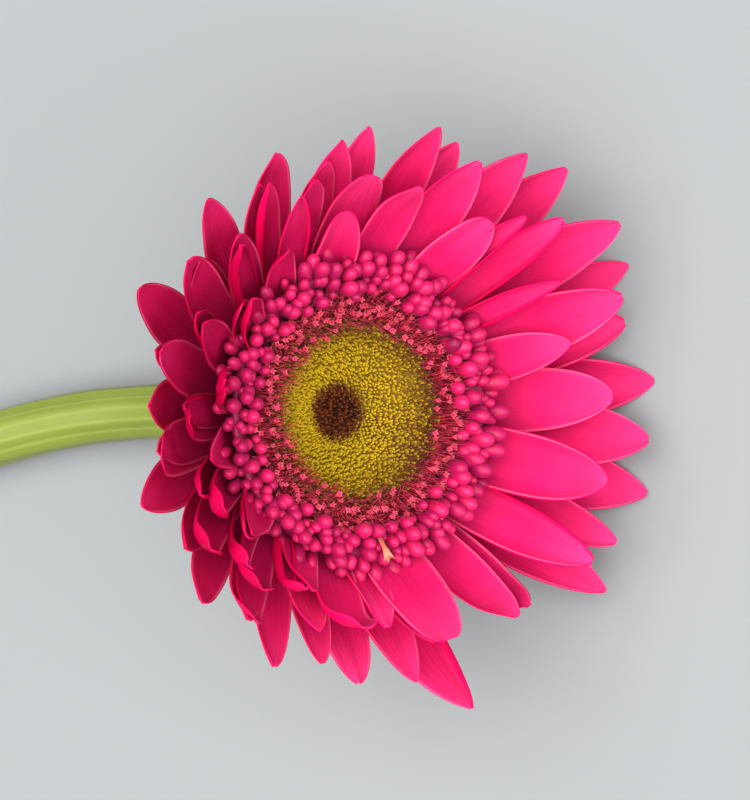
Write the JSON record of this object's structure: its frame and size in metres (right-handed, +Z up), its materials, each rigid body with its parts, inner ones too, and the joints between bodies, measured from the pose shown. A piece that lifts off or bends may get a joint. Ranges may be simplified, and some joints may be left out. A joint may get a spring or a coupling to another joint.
{
  "type": "cut gerbera",
  "caption": "Cut double gerbera lying on its side: a pink head of layered petals around a ring of buds and a yellow bowl with a dark centre, on a long green stem.",
  "frame": {"origin": "on the surface that the flower lies on, under the middle of its bounding box", "axes": "+X from the cut end of the stem towards the head, along the surface; +Y across the stem; +Z up from the surface"},
  "size_m": [0.4152, 0.1024, 0.0803],
  "materials": {
    "stem": "fresh yellow-green stem, satin and finely ribbed",
    "bracts": "green bracts, slightly hairy",
    "petals": "hot pink petal, satin, with fine lengthwise veins",
    "bud_florets": "smooth pink buds",
    "disc_fringe": "crimson threads with pale tips",
    "disc_florets": "dense olive-yellow florets",
    "disc_heart": "dark brown, matte"
  },
  "bodies": {
    "root": {"stem": "stem", "involucre": "bracts", "disc_heart": "disc_heart", "disc_florets": "disc_florets", "disc_fringe": "disc_fringe", "bud_florets": "bud_florets", "outer_petal_01": "petals", "outer_petal_02": "petals", "outer_petal_03": "petals", "outer_petal_04": "petals", "outer_petal_05": "petals", "outer_petal_06": "petals", "outer_petal_07": "petals", "outer_petal_08": "petals", "outer_petal_09": "petals", "outer_petal_10": "petals", "outer_petal_11": "petals", "outer_petal_12": "petals", "outer_petal_13": "petals", "outer_petal_14": "petals", "outer_petal_15": "petals", "outer_petal_16": "petals", "second_petal_01": "petals", "second_petal_02": "petals", "second_petal_03": "petals", "second_petal_04": "petals", "second_petal_05": "petals", "second_petal_06": "petals", "second_petal_07": "petals", "second_petal_08": "petals", "second_petal_09": "petals", "second_petal_10": "petals", "second_petal_11": "petals", "second_petal_12": "petals", "second_petal_13": "petals", "second_petal_14": "petals", "third_petal_01": "petals", "third_petal_02": "petals", "third_petal_03": "petals", "third_petal_04": "petals", "third_petal_05": "petals", "third_petal_06": "petals", "third_petal_07": "petals", "third_petal_08": "petals", "third_petal_09": "petals", "third_petal_10": "petals", "third_petal_11": "petals", "third_petal_12": "petals", "third_petal_13": "petals", "third_petal_14": "petals", "inner_petal_01": "petals", "inner_petal_02": "petals", "inner_petal_03": "petals", "inner_petal_04": "petals", "inner_petal_05": "petals", "inner_petal_06": "petals", "inner_petal_07": "petals", "inner_petal_08": "petals", "inner_petal_09": "petals"}
  },
  "joints": []
}
